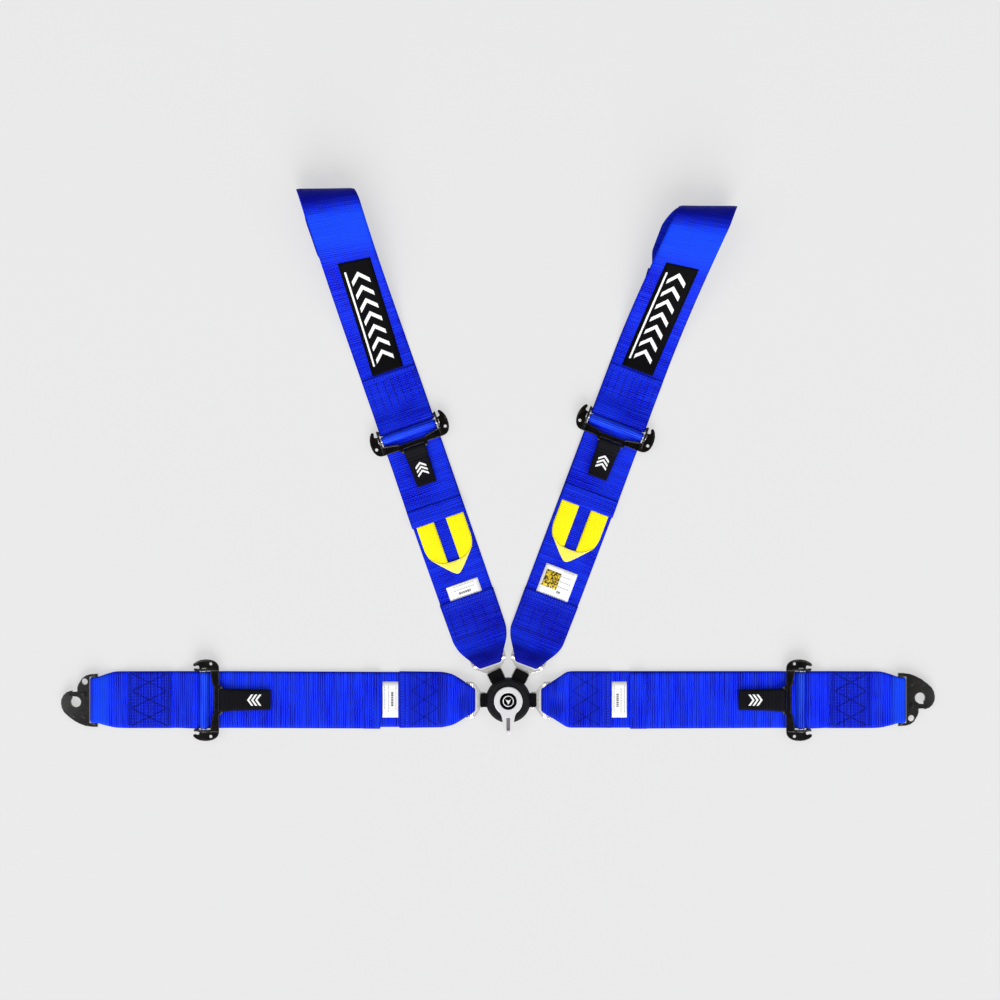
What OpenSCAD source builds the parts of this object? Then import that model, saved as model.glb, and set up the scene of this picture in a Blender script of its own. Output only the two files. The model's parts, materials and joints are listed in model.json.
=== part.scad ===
// Four point racing harness laid out flat, in millimetres.
// Origin: centre of the buckle's back face. +X right, +Y towards the shoulders, +Z up, away from the floor.
// Each strap is drawn in its own frame: x along the strap away from the buckle, y across, z up.

/* [Webbing] */
// Width of the main webbing, a three inch belt
web_w = 76; // [72:1:78]
// Thickness of one layer of main webbing
web_t = 1.8; // [1.6:0.1:1.8]
// Webbing width where it passes round a tongue bar
loop_w = 33; // [30:1:33]
// Webbing width where it passes round a hook bar
hook_loop_w = 60; // [50:1:60]

/* [Buckle] */
// Radius of the round dial cover
dial_r = 28.2; // [26:0.1:30]
// Radius of the housing under the dial
base_r = 30; // [29.5:0.1:31]
// Outer radius of the release lever's ring
lever_r = 19; // [17:0.5:20]
// Distance from the centre to the tip of the release lever
lever_reach = 43.4; // [38:0.1:48]

/* [Tongues] */
// Width of a tongue's blade
blade_w = 17; // [14:0.5:17]
// Thickness of a tongue
tongue_t = 3; // [2.6:0.1:3]

/* [Adjusters] */
// Half of the overall width over the adjuster's ears
ear_w = 54.5; // [53:0.5:55]
// Radius of the slide bar
slide_r = 3.5; // [3:0.1:3.5]

/* [Hooks] */
// Radius of the hook's eye
eye_r = 7; // [6.5:0.1:7]
// Thickness of the hook plate
hook_t = 5; // [4:0.2:5]

/* [Shoulder straps] */
// Lean of the left shoulder strap from the buckle's axis, degrees
lean_left = 19.25; // [19:0.05:21]
// Lean of the right shoulder strap from the buckle's axis, degrees
lean_right = 20.7; // [19:0.05:21]
// Bend radius where a shoulder strap folds over and under
arch_r = 27; // [24:0.5:30]

/* [Hidden] */
$fn = 64;
eps = 0.05;
half = web_w / 2;
gap = 0.3;
bar_z = 8;
loop_i = 3.3;
loop_o = loop_i + web_t;
roll_z = 11;
roll_i = slide_r + 0.1;
roll_o = roll_i + web_t;
rear_s = 10.5;
rear_z = 5.5;
hook_z = 6;
ramp = 30;
plate_z = 8.9;
plate_t = 2.5;
sh_x = 25.5;
sh_y = 51;
lap_x = 49;
sh_rad = sqrt(sh_x * sh_x + sh_y * sh_y);
sh_ang = atan(sh_x / sh_y);
blade_tip = 19.5;
latch_r = 25;
lean = [lean_left, lean_right];

// One row per strap: roll centre, tongue patch start and end, label start and end, label width,
// tail end, pull tab length beyond the roll, box end, hook bar (laps) or fold edge (shoulders).
LL = [357.5, 38, 97, 98.5, 119.5, 48, 122, 89.5, 462, 504.5];
RL = [342.5, 29, 89, 90, 110, 48, 114, 83.5, 438, 477];
LS = [326, 37, 93, 93.3, 112, 44.5, 201, 75, 410, 670];
RS = [336, 34, 93, 93.3, 133, 44.6, 220, 73, 415, 656];

function ease(t) = t <= 0 ? 0 : t >= 1 ? 1 : t * t * (3 - 2 * t);
function arc(cx, cy, r, a0, a1, n) = [for (i = [0:n]) let (a = a0 + (a1 - a0) * i / n) [cx + r * cos(a), cy + r * sin(a)]];
function rev(p) = [for (i = [len(p) - 1:-1:0]) p[i]];
// points along an eased ramp from (s0, z0) to (s1, z1)
function slope(s0, z0, s1, z1, n = 8) = [for (i = [0:n]) [s0 + (s1 - s0) * i / n, z0 + (z1 - z0) * ease(i / n)]];
// height of the main layer's underside near the roll, u measured from the roll centre
function under(u) = (roll_z - roll_o) * ease((u + ramp) / ramp);

module side(points, w) {
  translate([0, w / 2, 0]) rotate([90, 0, 0]) linear_extrude(w) polygon(points);
}
module plan(points, z0, h) {
  translate([0, 0, z0]) linear_extrude(h) polygon(points);
}
module both_sides() {
  children();
  mirror([0, 1, 0]) children();
}
module cross_bar(r, l) {
  translate([0, l / 2, 0]) rotate([90, 0, 0]) cylinder(r = r, h = l);
}
module at_left_lap() {
  translate([-lap_x, 0, 0]) rotate([0, 0, 180]) children();
}
module at_right_lap() {
  translate([lap_x, 0, 0]) children();
}
module at_left_shoulder() {
  translate([-sh_x, sh_y, 0]) rotate([0, 0, 90 + lean[0]]) children();
}
module at_right_shoulder() {
  translate([sh_x, sh_y, 0]) rotate([0, 0, 90 - lean[1]]) children();
}

// ---------- buckle ----------
module tongue_slots(w, z0, h, r0, r1) {
  for (a = [0, 90 - sh_ang, 90 + sh_ang, 180]) rotate([0, 0, a]) translate([r0, -w / 2, z0]) cube([r1 - r0, w, h]);
}
// jaws above and below a tongue's neck
module guide(w, reach) {
  plan([[20, -w / 2], [reach - 1.5, -w / 2], [reach, 1.5 - w / 2], [reach, w / 2 - 1.5], [reach - 1.5, w / 2], [20, w / 2]],
    4.2, 7.8);
}
module screw_spots() {
  for (a = [31, 149, 228, 312]) rotate([0, 0, a]) translate([24, 0, 0]) children();
}
module back_pad() {
  color([0.07, 0.07, 0.08]) difference() {
    cylinder(r = base_r - 1, h = 2);
    screw_spots() translate([0, 0, -1]) cylinder(r = 3.2, h = 4);
  }
}
module buckle_base() {
  color([0.08, 0.08, 0.09]) difference() {
    union() {
      translate([0, 0, 2]) cylinder(r = base_r, h = 12);
      translate([0, 0, 14]) cylinder(r1 = base_r, r2 = dial_r, h = 2);
      for (a = [0, 180]) rotate([0, 0, a]) guide(18.4, 37.6);
      for (a = [90 - sh_ang, 90 + sh_ang]) rotate([0, 0, a]) guide(19.6, 43.5);
    }
    translate([0, 0, 4]) cylinder(r = 18, h = 13);
    tongue_slots(blade_w + 0.6, bar_z - tongue_t / 2 - gap, tongue_t + 2 * gap, 16, 32);
    tongue_slots(50, bar_z - tongue_t / 2 - gap, tongue_t + 2 * gap, base_r + 0.3, 60);
    tongue_slots(8.6, 4, 8, 15, 27.8);
    translate([0, 0, 1]) cylinder(r = 3.05, h = 4);
    screw_spots() translate([0, 0, 1]) cylinder(r = 1.5, h = 20);
    screw_spots() translate([0, 0, 1]) cylinder(r = 2.8, h = 4);
    translate([latch_r, 0, 3]) cylinder(r = 2.5, h = 10);
  }
}
module latch_spring() {
  color([0.62, 0.63, 0.65]) union() {
    translate([0, 0, 4.1]) difference() {
      cylinder(r = 15.5, h = 0.8);
      translate([0, 0, -1]) cylinder(r = 9, h = 3);
    }
    for (a = [90 - sh_ang, 90 + sh_ang, 180]) rotate([0, 0, a]) {
      translate([12, -3.2, 4.1]) cube([15, 6.4, 0.8]);
      translate([23.4, -3.2, 4.1]) cube([3.2, 6.4, 4.7]);
    }
  }
}
module fixed_tongue_pin() {
  color([0.5, 0.5, 0.52]) translate([latch_r, 0, 4]) cylinder(r = 2.45, h = 9);
}
function coil(r, d, z0, pitch, turns, n, m) = [for (i = [0:n]) for (j = [0:m - 1])
  let (a = 360 * turns * i / n, b = 360 * j / m)
  [(r + d * cos(b)) * cos(a), (r + d * cos(b)) * sin(a), z0 + pitch * turns * i / n + d * sin(b)]];
module return_spring() {
  n = 56;
  m = 8;
  walls = [for (i = [0:n - 1]) for (j = [0:m - 1]) let (k = (j + 1) % m)
    [i * m + j, (i + 1) * m + j, (i + 1) * m + k, i * m + k]];
  ends = [[for (j = [0:m - 1]) j], [for (j = [m - 1:-1:0]) n * m + j]];
  color([0.55, 0.56, 0.58]) polyhedron(coil(13.4, 0.55, 10.6, 1.5, 2.5, n, m), concat(walls, ends), convexity = 8);
}
module dial_cover() {
  color([0.05, 0.05, 0.055]) difference() {
    union() {
      translate([0, 0, 16.05]) cylinder(r = dial_r, h = 3.95);
      translate([0, 0, 20]) cylinder(r1 = dial_r, r2 = dial_r - 2, h = 2);
    }
    translate([0, 0, 15]) cylinder(r = 9.3, h = 8);
    translate([0, 0, 21]) cylinder(r = lever_r + 0.6, h = 3);
    screw_spots() translate([0, 0, 15]) cylinder(r = 1.5, h = 5);
    for (a = [30:30:330]) if (a != 270) rotate([0, 0, a]) translate([23.4, -0.6, 21.4]) cube([2.6, 1.2, 2]);
  }
}
module housing_screws() {
  color([0.42, 0.42, 0.44]) screw_spots() difference() {
    union() {
      translate([0, 0, 2.6]) cylinder(r = 2.7, h = 2.35);
      translate([0, 0, 4]) cylinder(r = 1.45, h = 15.5);
    }
    translate([0, 0, 2]) cylinder(r = 1.2, h = 1.8, $fn = 6);
  }
}
module centre_shaft() {
  color([0.5, 0.5, 0.52]) union() {
    translate([0, 0, 2.3]) cylinder(r = 3, h = 21.6);
    translate([0, 0, 4.1]) cylinder(r = 5, h = 0.8);
  }
}
module cam_rotor() {
  color([0.45, 0.46, 0.48]) difference() {
    union() {
      translate([0, 0, 5.1]) cylinder(r = 11.4, h = 4.4);
      translate([0, 0, 5.1]) cylinder(r = 8.6, h = 16.2);
      for (a = [45, 135, 225, 315]) rotate([0, 0, a]) translate([9.6, -2.3, 5.1]) cube([3.6, 4.6, 4.4]);
    }
    translate([0, 0, 4]) cylinder(r = 3, h = 20);
  }
}
module release_lever() {
  color([0.72, 0.73, 0.75]) difference() {
    union() {
      translate([0, 0, 21.3]) cylinder(r = lever_r, h = 3.5);
      translate([0, 0, 24.8]) cylinder(r1 = lever_r, r2 = lever_r - 0.8, h = 0.8);
      plan(concat([[-11.4, -15], [-9.6, -18.2], [-8.4, -21.5], [-7.7, -26], [-7.1, -33], [-5.6, 4 - lever_reach]],
        arc(0, 4.6 - lever_reach, 4.6, 190, 350, 8),
        [[5.6, 4 - lever_reach], [7.1, -33], [7.7, -26], [8.4, -21.5], [9.6, -18.2], [11.4, -15]]), 22.4, 3.2);
    }
    translate([0, 0, 24.1]) cylinder(r = 11.3, h = 3);
    translate([0, 0, 20]) cylinder(r = 3.1, h = 6);
    plan(concat([[2.9, -21.5]], arc(0, -37, 2.3, 0, -180, 8), [[-2.9, -21.5]]), 24, 2);
  }
}
module lever_cap() {
  color([0.04, 0.04, 0.045]) difference() {
    translate([0, 0, 24.15]) cylinder(r = 11.1, h = 1.35);
    translate([0, 0, 24.9]) difference() {
      cylinder(r = 7.4, h = 2);
      translate([0, 0, -1]) cylinder(r = 6.2, h = 4);
    }
  }
}

// ---------- tongues: origin at the bar centre ----------
function head_side(w) = [[-13.4, 10.6], [-12.2, 11.4], [-10.4, 13.8], [-8.4, w - 8], [-6, w - 4.2], [-3.4, w - 1.6],
  [-0.4, w - 0.3], [4, w], [8.2, w + 0.2], [9, w - 0.6], [8.2, w - 1.9], [4.4, w - 2.6],
  [0, w - 2.8], [-3, w - 4.6], [-5.2, w - 7.4], [-7, w - 10.5]];
function flip(p) = [for (q = p) [q[0], -q[1]]];
module tongue(length, turn, window, w) {
  neck = length + blade_tip - base_r - 1;
  color([0.78, 0.79, 0.8]) difference() {
    union() {
      plan(concat(head_side(w), rev(flip(head_side(w)))), bar_z - tongue_t / 2, tongue_t);
      translate([0, 0, bar_z]) cross_bar(3, 2 * w - 4);
      rotate([0, 0, turn]) plan([[-length, blade_w / 2 - 3], [3 - length, blade_w / 2], [-neck, blade_w / 2], [-neck, 10.8],
        [-10.3, 10.8], [-10.3, -10.8], [-neck, -10.8], [-neck, -blade_w / 2], [3 - length, -blade_w / 2],
        [-length, 3 - blade_w / 2]], bar_z - tongue_t / 2 + 0.1, tongue_t - 0.2);
    }
    if (window) rotate([0, 0, turn]) translate([latch_r - blade_tip - length - 2.2, -3.8, 0]) cube([4.4, 7.6, 20]);
    if (!window) rotate([0, 0, turn]) translate([latch_r - blade_tip - length, 0, 0]) cylinder(r = 2.5, h = 20);
  }
}

// ---------- webbing ----------
module lower_webbing(d) {
  R = d[0];
  outer = concat(
    [[R - 0.4, roll_z - roll_o]],
    [for (i = [1:8]) let (u = -0.4 - (ramp - 0.4) * i / 8) [R + u, under(u)]],
    slope(36, 0, 0, bar_z - loop_o),
    arc(0, bar_z, loop_o, 260, 100, 10),
    slope(0, bar_z + loop_o, d[1] + 1, 2 * web_t),
    [[d[2], 2 * web_t], [d[2], web_t]],
    [for (i = [0:8]) let (u = -ramp + (ramp - 0.4) * i / 8) [R + u, under(u) + web_t]]);
  inner = concat(
    arc(0, bar_z, loop_i, 260, 100, 8),
    slope(0, bar_z + loop_i, d[1], web_t + 0.01),
    slope(d[1] - 1, web_t, 0, bar_z - loop_i));
  color([0.08, 0.12, 0.75]) intersection() {
    difference() {
      side(outer, web_w + 2);
      side(inner, web_w + 4);
    }
    plan([[-7, loop_w / 2], [6, loop_w / 2], [d[1], half - 1], [d[1] + 5, half], [R + 1, half],
      [R + 1, -half], [d[1] + 5, -half], [d[1], 1 - half], [6, -loop_w / 2], [-7, -loop_w / 2]], -1, 20);
  }
}
module roll(d) {
  color([0.08, 0.12, 0.75]) translate([d[0], 0, 0]) side(concat(
    arc(0, roll_z, roll_o, -90, 180, 24),
    arc(-roll_o - 1.2, 10, 1.2, 0, -90, 4),
    arc(-roll_o - 1.2, 10, 1.2 + web_t, -90, 0, 6),
    arc(0, roll_z, roll_i, 180, -90, 24)), web_w);
}
module tail(d, raised) {
  R = d[0];
  E = d[6];
  lift = raised ? 1.3 : 0;
  low = web_t + gap;
  color([0.08, 0.12, 0.75]) side(concat(
    [[E, low + lift], [E + 24, low + lift], [E + 34, low], [R - ramp, low]],
    [for (i = [1:8]) let (u = -ramp + (ramp - 6.9) * i / 8) [R + u, under(u) + low]],
    [for (i = [8:-1:0]) let (u = -ramp + (ramp - 6.9) * i / 8) [R + u, under(u) + low + web_t]],
    [[E + 36, low + web_t], [E + 26, low + web_t + lift], [E + 22, low + 2 * web_t + lift], [E, low + 2 * web_t + lift]]),
    web_w);
}
module label(d) {
  color([0.9, 0.9, 0.88]) translate([d[3], -d[5] / 2, web_t + eps]) cube([d[4] - d[3], d[5], 0.6]);
}
module yellow_loop(d, apex) {
  E = d[6];
  color([0.95, 0.85, 0.1]) difference() {
    plan([[E + 22, 33.2], [apex + 24, 33.2], [apex + 15, 29], [apex + 3, 9], [apex, 3], [apex, -3], [apex + 3, -9],
      [apex + 15, -29], [apex + 24, -33.2], [E + 22, -33.2]], web_t + gap, 1.2);
    plan([[E + 30, 8], [apex + 24, 8], [apex + 19, 4], [apex + 19, -4], [apex + 24, -8], [E + 30, -8]], 0, 9);
  }
}
// webbing looped round the rear bar (at its left) and the hook bar (at its right)
module lap_upper(d) {
  A = d[0] + rear_s;
  H = d[9];
  double = 2 * web_t;
  outer = concat(
    arc(A, rear_z, loop_o, 260, 100, 10),
    slope(A, rear_z + loop_o, A + 30, double),
    slope(H - 30, double, H, hook_z + loop_o),
    arc(H, hook_z, loop_o, 80, -80, 10),
    slope(H, hook_z - loop_o, H - 30, 0),
    slope(A + 30, 0, A, rear_z - loop_o));
  color([0.08, 0.12, 0.75]) intersection() {
    difference() {
      side(outer, web_w + 2);
      side(concat(arc(A, rear_z, loop_i, 260, 100, 8), slope(A, rear_z + loop_i, A + 29, web_t + 0.01),
        slope(A + 28, web_t, A, rear_z - loop_i)), web_w + 4);
      side(concat(arc(H, hook_z, loop_i, 80, -80, 8), slope(H, hook_z - loop_i, H - 28, web_t),
        slope(H - 29, web_t + 0.01, H, hook_z + loop_i)), web_w + 4);
    }
    plan([[A - 7, half], [H - 28, half], [H - 7, hook_loop_w / 2], [H + 7, hook_loop_w / 2], [H + 7, -hook_loop_w / 2],
      [H - 7, -hook_loop_w / 2], [H - 28, -half], [A - 7, -half]], -1, 20);
  }
}
// shoulder path: rises from the adjuster, bends over at the fold edge and comes back underneath
function arch_s(d) = d[9] - arch_r - web_t / 2;
function hook_s(d) = arch_s(d) - 82;
function path(d) = let (c = arch_s(d), m = web_t / 2) concat(
  [for (s = [404:13:430]) [s, m, 0]],
  [for (i = [1:16]) let (t = i / 16) [430 + (c - 430) * t, m + 2 * arch_r * ease(t), 0.55 * ease(t)]],
  [for (i = [1:12]) let (a = 90 - 15 * i) [c + arch_r * cos(a), m + arch_r + arch_r * sin(a), 0.55 + 0.45 * ease(1 - abs(i - 6) / 6)]],
  [for (i = [1:6]) let (t = i / 6) [c - 50 * t, m, 0.55 * (1 - t)]]);
// sheet swept along path p, from offset lo to offset hi along its normal
module sheet(p, turn, h, lo, hi) {
  n = len(p);
  tan_at = [for (i = [0:n - 1]) let (a = p[max(0, i - 1)], b = p[min(n - 1, i + 1)], v = [b[0] - a[0], b[1] - a[1]]) v / norm(v)];
  pts = [for (i = [0:n - 1]) let (g = turn * p[i][2], c = cos(g), s = sin(g), q = tan_at[i], r = [s, c, 0],
    m = cross([q[0], 0, q[1]], r), nn = m / norm(m), o = [p[i][0], 0, p[i][1]], k = h / c)
    each [o + k * r + lo * nn, o - k * r + lo * nn, o - k * r + hi * nn, o + k * r + hi * nn]];
  walls = [for (i = [0:n - 2]) for (j = [0:3]) let (k = (j + 1) % 4, a = i * 4 + j, b = i * 4 + k, e = a + 4, f = b + 4)
    each [[a, f, e], [a, b, f]]];
  caps = [[0, 2, 1], [0, 3, 2], [4 * n - 4, 4 * n - 3, 4 * n - 2], [4 * n - 4, 4 * n - 2, 4 * n - 1]];
  polyhedron(pts, concat(walls, caps), convexity = 10);
}
module shoulder_upper(d, turn) {
  A = d[0] + rear_s;
  H = hook_s(d);
  double = 2 * web_t;
  color([0.08, 0.12, 0.75]) union() {
    sheet(path(d), turn, half - 0.05, 0.06 - web_t / 2, web_t / 2 - 0.06);
    difference() {
      side(concat(arc(A, rear_z, loop_o, 260, 100, 10), slope(A, rear_z + loop_o, A + 30, double), [[d[8], double], [d[8], 0]],
        slope(A + 30, 0, A, rear_z - loop_o)), web_w);
      side(concat(arc(A, rear_z, loop_i, 260, 100, 8), slope(A, rear_z + loop_i, A + 29, web_t + 0.01),
        slope(A + 28, web_t, A, rear_z - loop_i)), web_w + 4);
    }
    intersection() {
      difference() {
        side(concat(arc(H, hook_z, loop_o, -100, -260, 10), slope(H, hook_z + loop_o, H + 28, double),
          [[H + 46, double], [H + 46, 0]], slope(H + 28, 0, H, hook_z - loop_o)), web_w + 2);
        side(concat(arc(H, hook_z, loop_i, -100, -260, 8), slope(H, hook_z + loop_i, H + 27, web_t + 0.01),
          slope(H + 26, web_t, H, hook_z - loop_i)), web_w + 4);
      }
      plan([[H + 60, half], [H + 28, half], [H + 7, hook_loop_w / 2], [H - 7, hook_loop_w / 2], [H - 7, -hook_loop_w / 2],
        [H + 7, -hook_loop_w / 2], [H + 28, -half], [H + 60, -half]], -1, 20);
    }
  }
}
module patch(d, turn) {
  p = path(d);
  inside = [for (q = p) if (q[0] > d[8] + 1 && q[0] < 572 && q[1] < arch_r + 12) q];
  last = [for (q = inside) if (q[2] < 0.35) q];
  color([0.06, 0.06, 0.07]) sheet(last, turn, 21.75, web_t / 2 + 0.3, web_t / 2 + 1.3);
}

// ---------- adjuster: origin at the roll centre ----------
module slide_bar() {
  color([0.5, 0.5, 0.52]) translate([0, 0, roll_z]) cross_bar(slide_r, 85);
}
module adjuster_frame() {
  color([0.05, 0.05, 0.055]) difference() {
    union() {
      plan([[-19.9, 41.5], [-8.6, 41.5], [-8.6, 36], [-11.8, 19.2], [-13.4, 17.8], [-13.4, -17.8], [-11.8, -19.2], [-8.6, -36],
        [-8.6, -41.5], [-19.9, -41.5]], plate_z, plate_t);
      translate([rear_s, 0, rear_z]) cross_bar(3, 82);
      both_sides() {
        translate([0, 42, 0]) rotate([90, 0, 0]) linear_extrude(2.5) polygon([[-19.9, plate_z], [-19.9, plate_z + plate_t],
          [-9, 12.2], [-5.5, 15.6], [-2, 16.8], [3, 16.8], [6.5, 15], [9.5, 10.5], [14, 8.6], [14.6, 5.5], [13.4, 2.7], [10, 1.9],
          [6, 3.8], [1, 6.2], [-9, plate_z]]);
        plan([[-8.6, 38], [-8.6, 36], [-11.8, 19.2], [-13.4, 17.8], [-14.4, 17.8], [-12.9, 19.7], [-9.7, 36.2], [-9.7, 38]],
          plate_z + plate_t - 0.2, 1.1);
        plan([[-19.9, 41.4], [-19.6, 45], [-18.4, ear_w - 6.6], [-16, ear_w - 3.8], [-12, ear_w - 1.5], [-7, ear_w - 0.3],
          [-1, ear_w], [5, ear_w - 0.9], [10, ear_w - 3], [13.4, ear_w - 5.2], [14.6, ear_w - 7.4], [13.6, ear_w - 9],
          [11.4, ear_w - 9.2], [8.8, ear_w - 8.2], [7, ear_w - 8.6], [6.2, 43.2], [6.2, 41.4]], plate_z, plate_t);
        plan([[-12, ear_w - 3.4], [-7, ear_w - 2], [-1, ear_w - 1.6], [5, ear_w - 2.5], [9.6, ear_w - 4.5], [13, ear_w - 6.8],
          [13.8, ear_w - 6.2], [10.4, ear_w - 3.3], [5.2, ear_w - 1.1], [-1, ear_w - 0.2], [-7.2, ear_w - 0.5],
          [-12.4, ear_w - 1.9]], plate_z + plate_t - 0.2, 2.2);
        plan([[-24, 14.3], [-19, 14.3], [-19, 20.5], [-21.5, 19.2], [-24, 18.4]], plate_z, plate_t);
      }
      translate([-23.5, 0, plate_z + plate_t / 2]) cross_bar(1.5, 35.6);
    }
    translate([0, 0, roll_z]) cross_bar(slide_r + 0.05, 86);
    both_sides() translate([-9, ear_w - 6, 0]) cylinder(r = 2, h = 20);
  }
}
module pull_tab(d) {
  T = -d[7];
  c = plate_z + plate_t / 2;
  color([0.06, 0.06, 0.07]) difference() {
    side(concat(arc(-23.5, c, 3, -80, 90, 10), slope(-23.5, c + 3, -36, 9.7, 5), [[T + 1, 9.7], [T, 9.1], [T, 7.9], [T + 1, 7.3]],
      [[-30, 7.3]]), 27);
    translate([-23.5, 0, c]) cross_bar(1.8, 40);
  }
}

// ---------- hook: origin at its bar centre, tip along +x ----------
module hook() {
  z0 = hook_z - hook_t / 2;
  color([0.05, 0.05, 0.055]) difference() {
    union() {
      plan([[-4, -35], [6, -34.4], [11.8, -32.6], [16.7, -28.9], [21.5, -21], [24, -13.5], [27, -11.9], [32, -12.2], [37, -10.6],
        [41.6, -6.4], [44.4, -0.5], [44.8, 5], [43.6, 11], [40.6, 16.5], [34, 22.6], [26.9, 27.9], [19, 32], [11.8, 34.7],
        [2.9, 35.9], [-4, 36]], z0, hook_t);
      translate([0, 0, hook_z]) cross_bar(3, 66);
      translate([14.5, -7.5, z0]) cylinder(r = 2.4, h = hook_t + 3);
      translate([14.5, 22, z0]) cylinder(r = 2, h = hook_t + 0.6);
      translate([28, 20.5, z0]) cylinder(r = 2, h = hook_t + 0.6);
    }
    translate([-6, -31, -10]) cube([12.9, 62, 40]);
    translate([25, 2.8, -10]) cylinder(r = eye_r, h = 40);
    translate([23, -20, -10]) cube([7, 20, 40]);
    translate([13.2, -24.5, -10]) cylinder(r = 4.2, h = 40);
  }
  color([0.05, 0.05, 0.055]) translate([0, 0, hook_z]) cross_bar(3, 63);
}
module gate() {
  z0 = hook_z + hook_t / 2 + gap;
  color([0.35, 0.36, 0.38]) difference() {
    union() {
      plan([[14.5, -11.6], [33, -11], [34.4, -9.6], [34.4, -7], [33, -5.6], [26, -5], [14.5, -3.4]], z0, 1.8);
      translate([14.5, -7.5, z0]) cylinder(r = 4.2, h = 1.8);
    }
    translate([14.5, -7.5, 0]) cylinder(r = 2.45, h = 30);
  }
}

// ---------- the separate pieces ----------
module left_lap_tongue() {
  at_left_lap() tongue(lap_x - blade_tip, 0, true, 24.5);
}
module left_lap_lower_webbing() {
  at_left_lap() lower_webbing(LL);
}
module left_lap_label() {
  at_left_lap() label(LL);
}
module left_lap_slide_bar() {
  at_left_lap() translate([LL[0], 0, 0]) slide_bar();
}
module left_lap_roll() {
  at_left_lap() roll(LL);
}
module left_lap_tail() {
  at_left_lap() tail(LL, false);
}
module left_lap_adjuster_frame() {
  at_left_lap() translate([LL[0], 0, 0]) adjuster_frame();
}
module left_lap_pull_tab() {
  at_left_lap() translate([LL[0], 0, 0]) pull_tab(LL);
}
module left_lap_upper_webbing() {
  at_left_lap() lap_upper(LL);
}
module left_lap_hook() {
  at_left_lap() translate([LL[9], 0, 0]) hook();
}
module left_lap_gate() {
  at_left_lap() translate([LL[9], 0, 0]) gate();
}
module right_lap_tongue() {
  at_right_lap() tongue(lap_x - blade_tip, 0, false, 24.5);
}
module right_lap_lower_webbing() {
  at_right_lap() lower_webbing(RL);
}
module right_lap_label() {
  at_right_lap() label(RL);
}
module right_lap_slide_bar() {
  at_right_lap() translate([RL[0], 0, 0]) slide_bar();
}
module right_lap_roll() {
  at_right_lap() roll(RL);
}
module right_lap_tail() {
  at_right_lap() tail(RL, false);
}
module right_lap_adjuster_frame() {
  at_right_lap() translate([RL[0], 0, 0]) adjuster_frame();
}
module right_lap_pull_tab() {
  at_right_lap() translate([RL[0], 0, 0]) pull_tab(RL);
}
module right_lap_upper_webbing() {
  at_right_lap() lap_upper(RL);
}
module right_lap_hook() {
  at_right_lap() translate([RL[9], 0, 0]) hook();
}
module right_lap_gate() {
  at_right_lap() translate([RL[9], 0, 0]) gate();
}
module left_shoulder_tongue() {
  at_left_shoulder() tongue(sh_rad - blade_tip, sh_ang - lean[0], true, 24);
}
module left_shoulder_lower_webbing() {
  at_left_shoulder() lower_webbing(LS);
}
module left_shoulder_label() {
  at_left_shoulder() label(LS);
}
module left_shoulder_slide_bar() {
  at_left_shoulder() translate([LS[0], 0, 0]) slide_bar();
}
module left_shoulder_roll() {
  at_left_shoulder() roll(LS);
}
module left_shoulder_tail() {
  at_left_shoulder() tail(LS, true);
}
module left_shoulder_yellow_loop() {
  at_left_shoulder() yellow_loop(LS, 125);
}
module left_shoulder_adjuster_frame() {
  at_left_shoulder() translate([LS[0], 0, 0]) adjuster_frame();
}
module left_shoulder_pull_tab() {
  at_left_shoulder() translate([LS[0], 0, 0]) pull_tab(LS);
}
module left_shoulder_upper_webbing() {
  at_left_shoulder() shoulder_upper(LS, lean[0]);
}
module left_shoulder_patch() {
  at_left_shoulder() patch(LS, lean[0]);
}
module left_shoulder_hook() {
  at_left_shoulder() translate([hook_s(LS), 0, 0]) rotate([0, 0, 180]) hook();
}
module left_shoulder_gate() {
  at_left_shoulder() translate([hook_s(LS), 0, 0]) rotate([0, 0, 180]) gate();
}
module right_shoulder_tongue() {
  at_right_shoulder() tongue(sh_rad - blade_tip, lean[1] - sh_ang, true, 24);
}
module right_shoulder_lower_webbing() {
  at_right_shoulder() lower_webbing(RS);
}
module right_shoulder_label() {
  at_right_shoulder() label(RS);
}
module right_shoulder_slide_bar() {
  at_right_shoulder() translate([RS[0], 0, 0]) slide_bar();
}
module right_shoulder_roll() {
  at_right_shoulder() roll(RS);
}
module right_shoulder_tail() {
  at_right_shoulder() tail(RS, true);
}
module right_shoulder_yellow_loop() {
  at_right_shoulder() yellow_loop(RS, 143);
}
module right_shoulder_adjuster_frame() {
  at_right_shoulder() translate([RS[0], 0, 0]) adjuster_frame();
}
module right_shoulder_pull_tab() {
  at_right_shoulder() translate([RS[0], 0, 0]) pull_tab(RS);
}
module right_shoulder_upper_webbing() {
  at_right_shoulder() shoulder_upper(RS, -lean[1]);
}
module right_shoulder_patch() {
  at_right_shoulder() patch(RS, -lean[1]);
}
module right_shoulder_hook() {
  at_right_shoulder() translate([hook_s(RS), 0, 0]) rotate([0, 0, 180]) hook();
}
module right_shoulder_gate() {
  at_right_shoulder() translate([hook_s(RS), 0, 0]) rotate([0, 0, 180]) gate();
}

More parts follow.
